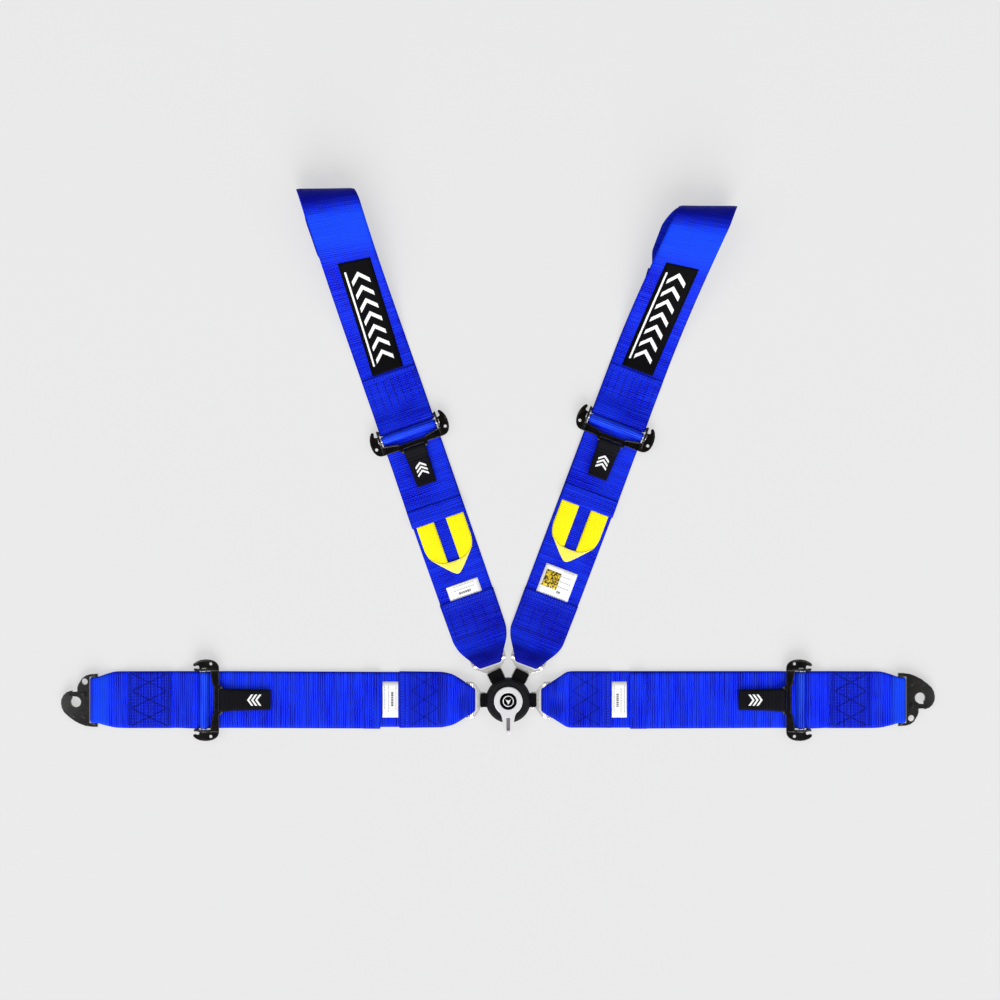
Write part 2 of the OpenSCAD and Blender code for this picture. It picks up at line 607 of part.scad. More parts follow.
back_pad();
buckle_base();
latch_spring();
fixed_tongue_pin();
return_spring();
dial_cover();
housing_screws();
centre_shaft();
cam_rotor();
release_lever();
lever_cap();
left_lap_tongue();
left_lap_lower_webbing();
left_lap_label();
left_lap_slide_bar();
left_lap_roll();
left_lap_tail();
left_lap_adjuster_frame();
left_lap_pull_tab();
left_lap_upper_webbing();
left_lap_hook();
left_lap_gate();
right_lap_tongue();
right_lap_lower_webbing();
right_lap_label();
right_lap_slide_bar();
right_lap_roll();
right_lap_tail();
right_lap_adjuster_frame();
right_lap_pull_tab();
right_lap_upper_webbing();
right_lap_hook();
right_lap_gate();
left_shoulder_tongue();
left_shoulder_lower_webbing();
left_shoulder_label();
left_shoulder_slide_bar();
left_shoulder_roll();
left_shoulder_tail();
left_shoulder_yellow_loop();
left_shoulder_adjuster_frame();
left_shoulder_pull_tab();
left_shoulder_upper_webbing();
left_shoulder_patch();
left_shoulder_hook();
left_shoulder_gate();
right_shoulder_tongue();
right_shoulder_lower_webbing();
right_shoulder_label();
right_shoulder_slide_bar();
right_shoulder_roll();
right_shoulder_tail();
right_shoulder_yellow_loop();
right_shoulder_adjuster_frame();
right_shoulder_pull_tab();
right_shoulder_upper_webbing();
right_shoulder_patch();
right_shoulder_hook();
right_shoulder_gate();
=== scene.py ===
import json
import math
import random

import bpy
import numpy as np
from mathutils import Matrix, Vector


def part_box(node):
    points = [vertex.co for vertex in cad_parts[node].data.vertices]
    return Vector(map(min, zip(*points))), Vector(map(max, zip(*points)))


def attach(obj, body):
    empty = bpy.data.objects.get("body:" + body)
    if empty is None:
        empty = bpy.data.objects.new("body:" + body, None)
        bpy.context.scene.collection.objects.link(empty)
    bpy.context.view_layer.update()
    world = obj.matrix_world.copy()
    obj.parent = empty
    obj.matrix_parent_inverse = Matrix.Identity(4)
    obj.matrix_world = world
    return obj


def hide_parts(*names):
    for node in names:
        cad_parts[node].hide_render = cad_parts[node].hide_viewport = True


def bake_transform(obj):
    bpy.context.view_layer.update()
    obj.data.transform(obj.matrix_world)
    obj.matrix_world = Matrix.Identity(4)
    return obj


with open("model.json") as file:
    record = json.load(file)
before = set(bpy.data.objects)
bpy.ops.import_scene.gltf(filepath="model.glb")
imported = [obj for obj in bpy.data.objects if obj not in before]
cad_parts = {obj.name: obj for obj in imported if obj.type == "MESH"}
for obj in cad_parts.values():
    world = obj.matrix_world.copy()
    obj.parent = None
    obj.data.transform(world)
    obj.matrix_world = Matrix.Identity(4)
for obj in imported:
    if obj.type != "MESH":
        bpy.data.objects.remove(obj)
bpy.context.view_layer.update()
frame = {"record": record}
J = {j["name"]: j for j in frame["record"]["behaviour"]["joints"]}

# Strap shapes are worked out in millimetres: s along the strap, w across it, z up from the floor.
MM = 0.001
HALF, WEB = 38.0, 1.8  # half width and thickness of the belt
FIRST, SECOND = 0.9, 2.7  # middle of the first and second layer of belt on the floor
SEW_HALF = HALF - 3.2  # half width of a sewn area
BAR_Z, LOOP_R = 8.0, 4.2  # the tongue's bar, and the radius of a belt's loop round a bar
ROLL_Z, ROLL_R = 11.0, 4.5  # the belt's turn round the slide bar
REAR_Z, HOOK_Z = 5.5, 6.0  # the adjuster's rear bar and the hook's bar
RIM_Z, RIM_R, RIM_BACK = 10.15, 2.4, 23.5  # the adjuster's rim bar, which holds the pull tab
RISE_START = 430  # where a shoulder belt starts to rise from the floor
ARCH_R, ARCH_BACK = 27.0, 31.4  # the arch that it ends in, and how far its centre is from the top
RISE_LEAN = 0.55  # share of the strap's lean that the belt has turned at the end of its rise


class Strap:
    """A strap's own frame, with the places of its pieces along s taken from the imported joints.

    patch, label, box: start and end of the sewn patch, the label and the sewn box. tail: the loose
    end's fold. tab: how far the pull tab's tip is from the roll. top, apex: a shoulder strap's far
    end and the point of its yellow loop.
    """

    def __init__(self, key, patch, label, label_w, tail, tab, box, top=None, apex=None):
        self.key = key
        self.o = Vector(J[key + "_strap_hinge"]["pos_m"])
        self.o.z = 0
        self.d = Vector(J[key + "_length_slide"]["axis"]).normalized()
        self.y = Vector((-self.d.y, self.d.x, 0))
        self.roll, self.rear, self.hook = (
            (Vector(J[key + name]["pos_m"]) - self.o).dot(self.d) / MM
            for name in ("_adjuster_tilt", "_anchor_hinge", "_hook_hinge")
        )
        self.patch, self.label, self.label_w = patch, label, label_w
        self.tail, self.tab, self.box, self.apex = tail, tab, box, apex
        self.shoulder = top is not None
        self.arch = top - ARCH_BACK if self.shoulder else None
        self.lean = math.degrees(math.atan2(self.d.y, self.d.x)) - 90 if self.shoulder else 0.0

    def at(self, s, w, z):
        return self.o + self.d * (s * MM) + self.y * (w * MM) + Vector((0, 0, z * MM))

    def array(self, pts):
        p = np.asarray(pts, float) * MM
        o, d, y = np.array(self.o), np.array(self.d), np.array(self.y)
        return o + p[:, :1] * d + p[:, 1:2] * y + p[:, 2:3] * np.array([0, 0, 1.0])


STRAPS = [
    Strap("left_lap", (38, 97), (98.5, 119.5), 48, 122, 89.5, (401, 462)),
    Strap("right_lap", (29, 89), (90, 110), 48, 114, 83.5, (381, 438)),
    Strap("left_shoulder", (37, 93), (91, 112), 44.5, 201, 75, (351, 410), 670, 125),
    Strap("right_shoulder", (34, 93), (91, 133), 44.6, 220, 73, (357, 415), 656, 143),
]


# ---------- materials ----------
class Mat:
    """A small helper around one material's node tree."""

    def __init__(self, name, base, rough=0.5, metal=0.0, spec=0.5):
        self.m = bpy.data.materials.new(name)
        self.m.use_nodes = True
        self.nt = self.m.node_tree
        self.b = self.nt.nodes["Principled BSDF"]
        self.b.inputs["Base Color"].default_value = (*base, 1)
        self.b.inputs["Roughness"].default_value = rough
        self.b.inputs["Metallic"].default_value = metal
        self.b.inputs["Specular IOR Level"].default_value = spec

    def put(self, socket, value):
        if isinstance(value, bpy.types.NodeSocket):
            self.nt.links.new(value, socket)
        else:
            socket.default_value = value

    def math(self, op, a, b=None):
        n = self.nt.nodes.new("ShaderNodeMath")
        n.operation = op
        self.put(n.inputs[0], a)
        if b is not None:
            self.put(n.inputs[1], b)
        return n.outputs[0]

    def inverse(self, a):
        return self.math("SUBTRACT", 1.0, a)

    def mix(self, f, a, b):
        n = self.nt.nodes.new("ShaderNodeMix")
        n.data_type = "RGBA"
        self.put(n.inputs["Factor"], f)
        ins = [s for s in n.inputs if s.type == "RGBA"]
        for sock, v in zip(ins, (a, b)):
            self.put(sock, v if isinstance(v, bpy.types.NodeSocket) else (*v, 1))
        return [s for s in n.outputs if s.type == "RGBA"][0]

    def uv(self):
        n = self.nt.nodes.new("ShaderNodeUVMap")
        n.uv_map = "UVMap"
        s = self.nt.nodes.new("ShaderNodeSeparateXYZ")
        self.nt.links.new(n.outputs[0], s.inputs[0])
        return s.outputs[0], s.outputs[1]

    def stretched(self, x, y, sx, sy):
        """A vector of x and y, each scaled by its own number, for a noise to follow."""
        n = self.nt.nodes.new("ShaderNodeCombineXYZ")
        self.put(n.inputs[0], self.math("MULTIPLY", x, sx))
        self.put(n.inputs[1], self.math("MULTIPLY", y, sy))
        return n.outputs[0]

    def noise(self, vector=None, scale=5.0, detail=2.0, rough=0.5):
        n = self.nt.nodes.new("ShaderNodeTexNoise")
        if vector is None:
            t = self.nt.nodes.new("ShaderNodeTexCoord")
            vector = t.outputs["Object"]
        self.nt.links.new(vector, n.inputs["Vector"])
        n.inputs["Scale"].default_value = scale
        n.inputs["Detail"].default_value = detail
        n.inputs["Roughness"].default_value = rough
        return n.outputs["Fac"]

    def ramp(self, f, lo, hi):
        n = self.nt.nodes.new("ShaderNodeMapRange")
        n.interpolation_type = "SMOOTHSTEP"
        self.put(n.inputs["Value"], f)
        n.inputs["From Min"].default_value = lo
        n.inputs["From Max"].default_value = hi
        return n.outputs["Result"]

    def bump(self, height, distance, strength, bevel=0.0):
        n = self.nt.nodes.new("ShaderNodeBump")
        n.inputs["Strength"].default_value = strength
        n.inputs["Distance"].default_value = distance
        self.nt.links.new(height, n.inputs["Height"])
        if bevel:
            v = self.nt.nodes.new("ShaderNodeBevel")
            v.samples = 4
            v.inputs["Radius"].default_value = bevel
            self.nt.links.new(v.outputs[0], n.inputs["Normal"])
        self.nt.links.new(n.outputs[0], self.b.inputs["Normal"])

    def colour(self, socket):
        self.nt.links.new(socket, self.b.inputs["Base Color"])

    def rough(self, socket):
        self.nt.links.new(socket, self.b.inputs["Roughness"])


def wave01(m, phase):
    s = m.math("SINE", m.math("MULTIPLY", phase, 2 * math.pi))
    return m.math("ADD", m.math("MULTIPLY", s, 0.5), 0.5)


def webbing(
    name, pitch, zig, period, streak, dark, mid, bright,
    rough=0.5, half=HALF, depth=0.00035, loop=0.0, wobble=0.8, twill=0.0, zones=(),
):
    """Woven belt, laid out along its UVs, which are metres along (u) and across (v) the belt.

    Ribs of that pitch cross the belt, shifted by zig in a zigzag of that period, with uneven threads; their
    gaps are painted shade and their crests painted highlight.
    loop paints shade on the turn round the tongue's bar. twill breaks the ribs into slanting dashes. A zone
    (start, full, stop, end, share, tone) tints a stretch of u, fading in and out at its ends; the zones carry
    the sewn areas' darker tone and the painted highlight and painted shade on the anchor belts.
    """
    m = Mat(name, mid, rough, spec=0.05)
    u, v = m.uv()
    fold = wave01(m, m.math("DIVIDE", v, period))
    wander = m.noise(m.stretched(u, v, 90, 130), 1.0, 2.0)
    phase = m.math("ADD", m.math("DIVIDE", u, pitch), m.math("MULTIPLY", fold, zig))
    phase = m.math("ADD", phase, m.math("MULTIPLY", wander, wobble))
    rib = wave01(m, phase)
    warp = wave01(m, m.math("DIVIDE", v, 0.00125))
    lines = m.ramp(m.noise(m.stretched(u, v, 620, 9), 1.0, 3.0, 0.7), 0.42, 0.68)
    broad = m.ramp(m.noise(m.stretched(u, v, 22, 22), 1.0, 3.0), 0.35, 0.65)
    # painted shade and painted highlight: rib gaps lean to the dark blue, rib crests to the bright blue
    c = m.mix(m.ramp(rib, 0.05, 0.75), dark, mid)
    if twill:
        step = m.math("MULTIPLY", m.math("FLOOR", phase), 0.5)
        slant = m.math("ADD", m.math("DIVIDE", v, 0.0042), step)
        dash = m.ramp(wave01(m, m.math("ADD", slant, m.math("MULTIPLY", wander, 1.2))), 0.15, 0.7)
        rib = m.math("MULTIPLY", rib, m.math("ADD", 1.0 - twill, m.math("MULTIPLY", dash, twill)))
        c = m.mix(m.math("MULTIPLY", m.inverse(dash), twill), c, dark)
    c = m.mix(m.math("MULTIPLY", m.ramp(rib, 0.72, 1.0), 0.6), c, bright)
    c = m.mix(m.math("MULTIPLY", lines, streak), c, bright)
    c = m.mix(m.math("MULTIPLY", broad, 0.2), c, bright)
    if loop:
        # painted shade on the turn round the tongue's bar
        from_bar = m.math("ABSOLUTE", m.math("ADD", u, -0.006))
        shade = tuple(a * 0.55 + b * 0.12 for a, b in zip(dark, mid))
        c = m.mix(m.math("MULTIPLY", m.inverse(m.ramp(from_bar, 0.022, 0.036)), loop), c, shade)
    # the zones tint the sewn areas darker and paint highlight and shade along the anchor belts
    for start, full, stop, end, share, tone in zones:
        inside = m.math("MULTIPLY", m.ramp(u, start, full), m.inverse(m.ramp(u, stop, end)))
        c = m.mix(m.math("MULTIPLY", inside, share), c, tone)
    edge = m.ramp(m.math("ABSOLUTE", v), (half - 1.6) * MM, (half - 0.4) * MM)
    m.colour(m.mix(m.math("MULTIPLY", edge, 0.7), c, dark))
    h = m.math("ADD", m.math("MULTIPLY", rib, 0.7), m.math("MULTIPLY", warp, 0.18))
    h = m.math("ADD", h, m.math("MULTIPLY", lines, 0.5 * streak))
    m.bump(h, depth, 0.9)
    return m.m


DARK_BLUE = (0.0012, 0.0008, 0.17)
BLUE = (DARK_BLUE, (0.003, 0.003, 0.72), (0.010, 0.058, 1.0))
# the first blue below tints the sewn areas and is also painted shade on the far side of a shoulder belt's
# arch; the second is painted highlight
SEWN_TONE_AND_SHADE, HIGHLIGHT_BLUE = (0.001, 0.001, 0.22), (0.008, 0.085, 1.0)
SEWN = (-0.108, -0.100, -0.046, -0.036, 0.35, SEWN_TONE_AND_SHADE)
NO_EDGE = 200  # a half width past any ribbon's edge, so that the edge isn't darkened
# lap belt: the sewn patch and box are tinted darker; the last zone is painted highlight past the sewn box
web_lap = webbing(
    "web_lap", 0.0031, 0.06, 0.012, 0.7, *BLUE, loop=0.35, wobble=0.9,
    zones=(SEWN, (1.502, 1.504, 1.554, 1.560, 0.45, SEWN_TONE_AND_SHADE), (1.580, 1.592, 1.600, 1.612, 0.45, HIGHLIGHT_BLUE)),
)
# shoulder belt: painted highlight on the rise before the arch, painted shade on the arch's far side
web_sh = webbing(
    "web_shoulder", 0.0028, 0.1, 0.0066, 0.5, *BLUE, loop=0.8, wobble=1.1, twill=0.4,
    zones=(SEWN, (1.90, 1.945, 1.965, 1.985, 0.5, HIGHLIGHT_BLUE), (1.972, 1.998, 2.015, 2.07, 0.85, SEWN_TONE_AND_SHADE)),
)
# a brighter copy of the belt's weave: painted highlight on the turn round the slide bar
web_roll_highlight = webbing(
    "web_roll_highlight", 0.0026, 0.05, 0.0066, 0.75, DARK_BLUE, (0.004, 0.010, 0.80), (0.020, 0.11, 1.0),
    0.42, depth=0.00012,
)
yellow = webbing(
    "yellow_ribbon", 0.0027, 0.1, 0.01, 0.2, (0.80, 0.68, 0.004), (0.93, 0.84, 0.005), (0.97, 0.92, 0.02),
    0.6, NO_EDGE, 0.00012,
)
yellow_back = webbing(
    "yellow_ribbon_back", 0.0027, 0.1, 0.01, 0.2, (0.84, 0.72, 0.05), (0.92, 0.82, 0.08), (0.97, 0.90, 0.20),
    0.6, NO_EDGE, 0.00006,
)
black_rib = webbing(
    "black_ribbon", 0.0024, 0.1, 0.01, 0.3,
    (0.0012, 0.0012, 0.002), (0.0035, 0.0035, 0.005), (0.012, 0.012, 0.016),
    0.6, NO_EDGE, 0.0002,
)
patch_black = webbing(
    "patch_ribbon", 0.0012, 0.3, 0.003, 0.1,
    (0.0008, 0.0008, 0.001), (0.002, 0.002, 0.0025), (0.005, 0.005, 0.006),
    0.7, NO_EDGE, 0.0001,
)
label_white = webbing(
    "label_cloth", 0.0008, 0.3, 0.002, 0.1, (0.78, 0.78, 0.77), (0.88, 0.88, 0.87), (0.95, 0.95, 0.95),
    0.7, NO_EDGE, 0.00005,
)


def groove_shade(m, colour, half_width, start, end, tone):
    """Mixes tone into a groove that runs along -y from start to end, in the node's own metres."""
    t, s = m.nt.nodes.new("ShaderNodeTexCoord"), m.nt.nodes.new("ShaderNodeSeparateXYZ")
    m.nt.links.new(t.outputs["Object"], s.inputs[0])
    off_middle = m.math("ABSOLUTE", s.outputs[0])
    across = m.inverse(m.ramp(off_middle, half_width * 0.55, half_width * 1.1))
    along = m.math("MULTIPLY", -1.0, s.outputs[1])
    after, before = m.ramp(along, start - 0.002, start + 0.002), m.ramp(along, end - 0.002, end + 0.001)
    inside = m.math("MULTIPLY", after, m.inverse(before))
    return m.mix(m.math("MULTIPLY", inside, m.math("MULTIPLY", across, 0.85)), colour, tone)


def plain(
    name, base, rough, metal=0.0, vary=0.1, scale=60.0, bump=0.0, bevel=0.0, spec=0.5, tint=None, groove=None
):
    """A plain surface with faint uneven colour and gloss. tint replaces the darker shade in patches."""
    m = Mat(name, base, rough, metal, spec)
    n = m.noise(None, scale, 3.0)
    other = tint or tuple(c * (1 - vary) for c in base)
    colour = m.mix(m.ramp(n, 0.42, 0.58) if tint else n, base, other)
    m.colour(groove_shade(m, colour, *groove) if groove else colour)
    m.rough(m.math("ADD", m.math("MULTIPLY", n, rough * 0.35), rough * 0.8))
    fine = m.noise(None, scale * 12, 2.0)
    m.bump(fine, max(bump, 1e-6), 0.6 if bump else 0.05, bevel)
    return m.m


thread_navy = plain("thread_navy", (0.001, 0.001, 0.075), 0.6, vary=0.3, scale=900, spec=0.1)
thread_blue = plain("thread_blue", (0.03, 0.09, 1.0), 0.45, vary=0.3, scale=900, spec=0.2)
print_white = plain("print_white", (0.88, 0.88, 0.88), 0.6, vary=0.06, scale=300)
print_grey = plain("print_grey", (0.12, 0.12, 0.13), 0.7, vary=0.3, scale=500)
print_pale = plain("print_pale", (0.42, 0.43, 0.45), 0.7, vary=0.3, scale=500)
gold_foil = plain("gold_foil", (0.72, 0.50, 0.01), 0.4, 0.1, scale=330, tint=(0.02, 0.018, 0.002))
black_steel = plain(
    "black_steel", (0.0008, 0.0008, 0.0008), 0.12, 0.0, 0.3, 90, 0.00001, 0.0014,
    spec=0.55, tint=(0.004, 0.0028, 0.0016),
)
chrome = plain("chrome_plate", (0.95, 0.93, 0.88), 0.15, 0.6, 0.06, 7, 0.0014, 0.0010)
satin = plain("satin_silver", (0.97, 0.96, 0.98), 0.25, 0.25, 0.05, 9, 0.0001, 0.0012)
lever_silver = plain(
    "lever_silver", (0.80, 0.79, 0.81), 0.25, 0.25, 0.05, 9, 0.0001, 0.0012,
    groove=(0.0029, 0.0215, 0.0393, (0.10, 0.09, 0.08)),
)
steel = plain("plain_steel", (0.55, 0.55, 0.56), 0.3, 0.9, 0.15, 80, 0.00002, 0.0003)
dial_black = plain("dial_black", (0.0035, 0.0035, 0.005), 0.42, 0.0, 0.3, 120, 0.00004, 0.0014, spec=0.2)
base_black = plain("base_black", (0.002, 0.002, 0.0022), 0.3, 0.0, 0.3, 120, 0.00004, 0.0008, spec=0.15)
cap_black = plain("cap_black", (0.001, 0.001, 0.0012), 0.15, 0.0, 0.3, 120, 0.0, 0.0003, spec=0.2)
pad_rubber = plain("pad_rubber", (0.012, 0.012, 0.012), 0.8, 0.0, 0.3, 200, 0.0001, spec=0.2)
gate_steel = plain("gate_steel", (0.006, 0.006, 0.0065), 0.3, 0.3, 0.4, 90, 0.00002, 0.0004, spec=0.3)


def paint(node, material):
    o = bpy.data.objects[node]
    if not o.material_slots:
        o.data.materials.append(None)
    for s in o.material_slots:
        s.material = material


# ---------- mesh makers ----------
def make(name, verts, faces, uvs=None, materials=(), smooth=True, face_mats=None):
    me = bpy.data.meshes.new(name)
    me.from_pydata([tuple(v) for v in verts], [], [tuple(f) for f in faces])
    if uvs is not None:
        layer = me.uv_layers.new(name="UVMap")
        idx = np.zeros(len(me.loops), np.int32)
        me.loops.foreach_get("vertex_index", idx)
        layer.data.foreach_set("uv", np.asarray(uvs, np.float32)[idx].ravel())
    for m in materials:
        me.materials.append(m)
    if face_mats is not None:
        me.polygons.foreach_set("material_index", np.asarray(face_mats, np.int32))
    me.polygons.foreach_set("use_smooth", [smooth] * len(me.polygons))
    me.update()
    me.validate()
    o = bpy.data.objects.new(name, me)
    bpy.context.scene.collection.objects.link(o)
    return o


def resample(line, step):
    """Even points along a line, and how far along it each of them is."""
    p = np.asarray(line, float)
    seg = np.hypot(np.diff(p[:, 0]), np.diff(p[:, 1]))
    p = p[np.concatenate([[True], seg > 1e-6])]
    seg = np.hypot(np.diff(p[:, 0]), np.diff(p[:, 1]))
    u = np.concatenate([[0], np.cumsum(seg)])
    n = max(2, int(round(u[-1] / step)) + 1)
    t = np.linspace(0, u[-1], n)
    return np.stack([np.interp(t, u, p[:, i]) for i in range(p.shape[1])], 1), t


def soften(a, times):
    a = a.copy()
    for _ in range(times):
        a[1:-1] = (a[:-2] + 2 * a[1:-1] + a[2:]) / 4
    return a


def ribbon(name, st, line, thick, material, step=1.6, cols=14, wave=None, shift=None, turn=0.0, u0=0.0):
    """Sweeps a belt along line, as one closed mesh with soft edges and ends.

    Its points are (s, z, half width), with the share of turn degrees that the belt has turned and
    its sideways drift after them where they aren't nought. wave(u, s, w) lifts the surface,
    shift(s) moves the belt sideways, and u0 is the u of the first point, in millimetres.
    """
    line = [tuple(q) + (0.0,) * (5 - len(q)) for q in line]
    p, u = resample(line, step)
    for column, times in ((1, 2), (4, 4), (2, 6)):
        p[:, column] = soften(p[:, column], times)
    n = len(p)
    tan = np.gradient(p[:, :2], axis=0)
    tan /= np.linalg.norm(tan, axis=1)[:, None]
    g = np.radians(turn * p[:, 3])
    across = np.stack([np.sin(g), np.cos(g), np.zeros(n)], 1)
    nrm = np.cross(np.stack([tan[:, 0], np.zeros(n), tan[:, 1]], 1), across)
    nrm /= np.linalg.norm(nrm, axis=1)[:, None]
    k = p[:, 2] / np.cos(g)
    even = np.linspace(-1, 1, cols)
    x = 0.35 * np.sin(even * math.pi / 2) + 0.65 * even  # columns a little closer at the edges
    edge = 1.1
    over = np.clip((np.abs(x) * HALF - (HALF - edge)) / edge, 0, 1)
    th = thick / 2 * np.sqrt(np.clip(1 - over**2, 0.04, 1))
    end = np.ones(n)
    end[0] = end[-1] = 0.45
    base = np.stack([p[:, 0], p[:, 4], p[:, 1]], 1)
    if shift is not None:
        base[:, 1] += [shift(a) for a in p[:, 0]]
    rows = []
    for sign, order in ((1, range(cols)), (-1, range(cols - 1, -1, -1))):
        for j in order:
            w = k * x[j]
            off = sign * th[j] * end
            if wave is not None:
                off = off + wave(u, p[:, 0], w)
            rows.append(base + across * w[:, None] + nrm * off[:, None])
    m = len(rows)
    verts = np.stack(rows, 1).reshape(-1, 3)
    v = p[:, 2][:, None] * np.concatenate([x, x[::-1]])[None, :]
    uv = np.stack([np.repeat((u + u0) * MM, m), v.ravel() * MM], 1)
    faces = []
    for i in range(n - 1):
        for j in range(m):
            q = (j + 1) % m
            faces.append((i * m + j, (i + 1) * m + j, (i + 1) * m + q, i * m + q))
    for i, flip in ((0, False), (n - 1, True)):
        for j in range(cols - 1):
            f = (i * m + j, i * m + j + 1, i * m + m - 2 - j, i * m + m - 1 - j)
            faces.append(f[::-1] if flip else f)
    o = make(name, st.array(verts), faces, uv, [material])
    return o


def smooth(t):
    return t * t * (3 - 2 * t)


def clamp(t):
    return min(max(t, 0), 1)


def slope(s0, z0, s1, z1, n=10):
    return [(s0 + (s1 - s0) * i / n, z0 + (z1 - z0) * smooth(i / n)) for i in range(n + 1)]


def arc(c, z, r, a0, a1, n=14):
    turns = [math.radians(a0 + (a1 - a0) * i / n) for i in range(n + 1)]
    return [(c + r * math.cos(a), z + r * math.sin(a)) for a in turns]


def under(u):
    """How far the belt has risen from the floor, u before the slide bar, to go over it."""
    return 5.6 * smooth(clamp((u + 30) / 30))


def with_half(points, half):
    return [(s, z, half(s)) for s, z in points]


def full_half(s):
    return HALF


def lower_half(st):
    """The belt's half width near the tongue, where it narrows to fit the bar."""
    knots = [(-6, 11.5), (-4.2, 14), (-2, 16.9), (1.5, 19.4), (6, 21.6), (14, 27), (24, 33.5)]
    knots += [(st.patch[0], HALF - 0.8), (st.patch[0] + 6, HALF)]
    at, wide = zip(*knots)
    return lambda s: float(np.interp(s, at, wide))


def smooth_noise(seed, amp, lu, lw):
    """Slow waves of that height, about lu long along the belt and lw long across it."""
    rnd = random.Random(seed)
    terms = [
        (rnd.uniform(0.6, 1.4) / lu, rnd.uniform(-1, 1) / lw, rnd.uniform(0, 6.28), rnd.uniform(0.4, 1))
        for _ in range(5)
    ]

    def f(u, s, w):
        out = 0
        for a, b, c, d in terms:
            out = out + d * np.sin(a * u * 6.283 + b * w * 6.283 + c)
        return amp * out / 2.5

    return f


def stitches(name, st, rows, z, material, body, length=3.0, gap=1.1, dia=0.75, seed=1):
    """Rows of thread at height z. Each row is ((s, w), (s, w))."""
    rnd = random.Random(seed)
    verts, faces = [], []
    ring = [(math.cos(a), math.sin(a)) for a in np.linspace(0, 2 * math.pi, 6, endpoint=False)]
    prof = [(-0.5, 0.25), (-0.32, 0.9), (0.0, 1.0), (0.32, 0.9), (0.5, 0.25)]
    for (s0, w0), (s1, w1) in rows:
        long = math.hypot(s1 - s0, w1 - w0)
        n = max(1, int(long / (length + gap)))
        d = ((s1 - s0) / long, (w1 - w0) / long)
        for i in range(n):
            c = (i + 0.5) * long / n
            cs, cw = s0 + d[0] * c, w0 + d[1] * c
            ang = rnd.uniform(-0.07, 0.07)
            dx = d[0] * math.cos(ang) - d[1] * math.sin(ang)
            dy = d[0] * math.sin(ang) + d[1] * math.cos(ang)
            ln = length * rnd.uniform(0.92, 1.06)
            k = len(verts)
            for a, r in prof:
                rise = (1 - (2 * a) ** 2) * 0.28 * 0.6
                r *= dia / 2
                for x, y in ring:
                    s, w = cs + dx * a * ln - dy * x * r, cw + dy * a * ln + dx * x * r
                    verts.append((s, w, z + rise + y * r))
            for a in range(4):
                for b in range(6):
                    q = (b + 1) % 6
                    faces.append((k + a * 6 + b, k + a * 6 + q, k + a * 6 + 6 + q, k + a * 6 + 6 + b))
            faces.append(tuple(k + b for b in range(5, -1, -1)))
            faces.append(tuple(k + 24 + b for b in range(6)))
    o = make(name, st.array(verts), faces, None, [material])
    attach(o, body)
    return o


def plates(name, st, shapes, surface, t, materials, body):
    """Thin printed shapes: each is (list of (s, w), material index), laid on surface(s, w, lift)."""
    verts, faces, fm = [], [], []
    for pts, mi in shapes:
        k = len(verts)
        n = len(pts)
        if sum(a[0] * b[1] - b[0] * a[1] for a, b in zip(pts, pts[1:] + pts[:1])) < 0:
            pts = pts[::-1]
        verts += [surface(s, w, t) for s, w in pts] + [surface(s, w, -t) for s, w in pts]
        faces += [tuple(range(k, k + n)), tuple(range(k + 2 * n - 1, k + n - 1, -1))]
        for i in range(n):
            q = (i + 1) % n
            faces.append((k + i, k + n + i, k + n + q, k + q))
        fm += [mi] * (n + 2)
    o = make(name, st.array(verts), faces, None, materials, False, fm)
    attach(o, body)
    return o


def level(z):
    return lambda s, w, lift: (s, w, z + lift)


def split(quad, n):
    """Cuts a four-cornered shape into n pieces along its first side, so that it can follow a curve."""
    a, b, c, d = [Vector(q) for q in quad]
    out = []
    for i in range(n):
        u, v = i / n, (i + 1) / n
        out.append([tuple(p) for p in (a.lerp(b, u), a.lerp(b, v), d.lerp(c, v), d.lerp(c, u))])
    return out


def sheet_faces(rows, cols):
    """Faces of a closed sheet: a grid of rows x cols points, laid once for the top and once below."""
    faces, m = [], rows * cols
    for i in range(rows - 1):
        for j in range(cols - 1):
            a = i * cols + j
            faces.append((a, a + cols, a + cols + 1, a + 1))
            faces.append((m + a, m + a + 1, m + a + cols + 1, m + a + cols))
    rim = [(i * cols, (i + 1) * cols) for i in range(rows - 1)]
    rim += [((rows - 1) * cols + j, (rows - 1) * cols + j + 1) for j in range(cols - 1)]
    rim += [((i + 1) * cols + cols - 1, i * cols + cols - 1) for i in range(rows - 1)]
    rim += [(j + 1, j) for j in range(cols - 1)]
    return faces + [(b, a, m + a, m + b) for a, b in rim]


def slab(name, st, s0, s1, w0, w1, z, t, material, nu=14, nw=8):
    """A flat cloth piece with soft edges, on the height z."""
    soft = 0.5
    long, wide = abs(s1 - s0), abs(w1 - w0)
    verts, uv = [], []
    for is_top in (True, False):
        for a in np.linspace(0, 1, nu):
            for b in np.linspace(0, 1, nw):
                s, w = s0 + (s1 - s0) * a, w0 + (w1 - w0) * b
                edge = min(a * long, (1 - a) * long, b * wide, (1 - b) * wide)
                top = t * (0.55 + 0.45 * min(1, edge / soft)) if is_top else 0.0
                verts.append((s, w, z + top))
                uv.append((s * MM, w * MM))
    o = make(name, st.array(verts), sheet_faces(nu, nw), uv, [material])
    return o


# ---------- rows of stitches ----------
def seam(s, half, middle=0.0):
    """A straight row across the strap."""
    return ((s, middle - half), (s, middle + half))


def cross(s0, s1, third, inset=0.0):
    """Two crossing rows in one third of the belt's width."""
    a = -SEW_HALF + third * 2 * SEW_HALF / 3 + inset
    b = -SEW_HALF + (third + 1) * 2 * SEW_HALF / 3 - inset
    return [((s0, a), (s1, b)), ((s0, b), (s1, a))]


def wavy_rows(start, length, steps, lines, sway):
    """Rows along the strap that sway from side to side."""
    rows = []
    for i in range(lines):
        a = -SEW_HALF + 4 + i * (2 * SEW_HALF - 8) / (lines - 1)
        for q in range(steps):
            s, sg = start + q * length / steps, sway if q % 2 else -sway
            rows.append(((s, a - sg), (s + length / steps, a + sg)))
    return rows


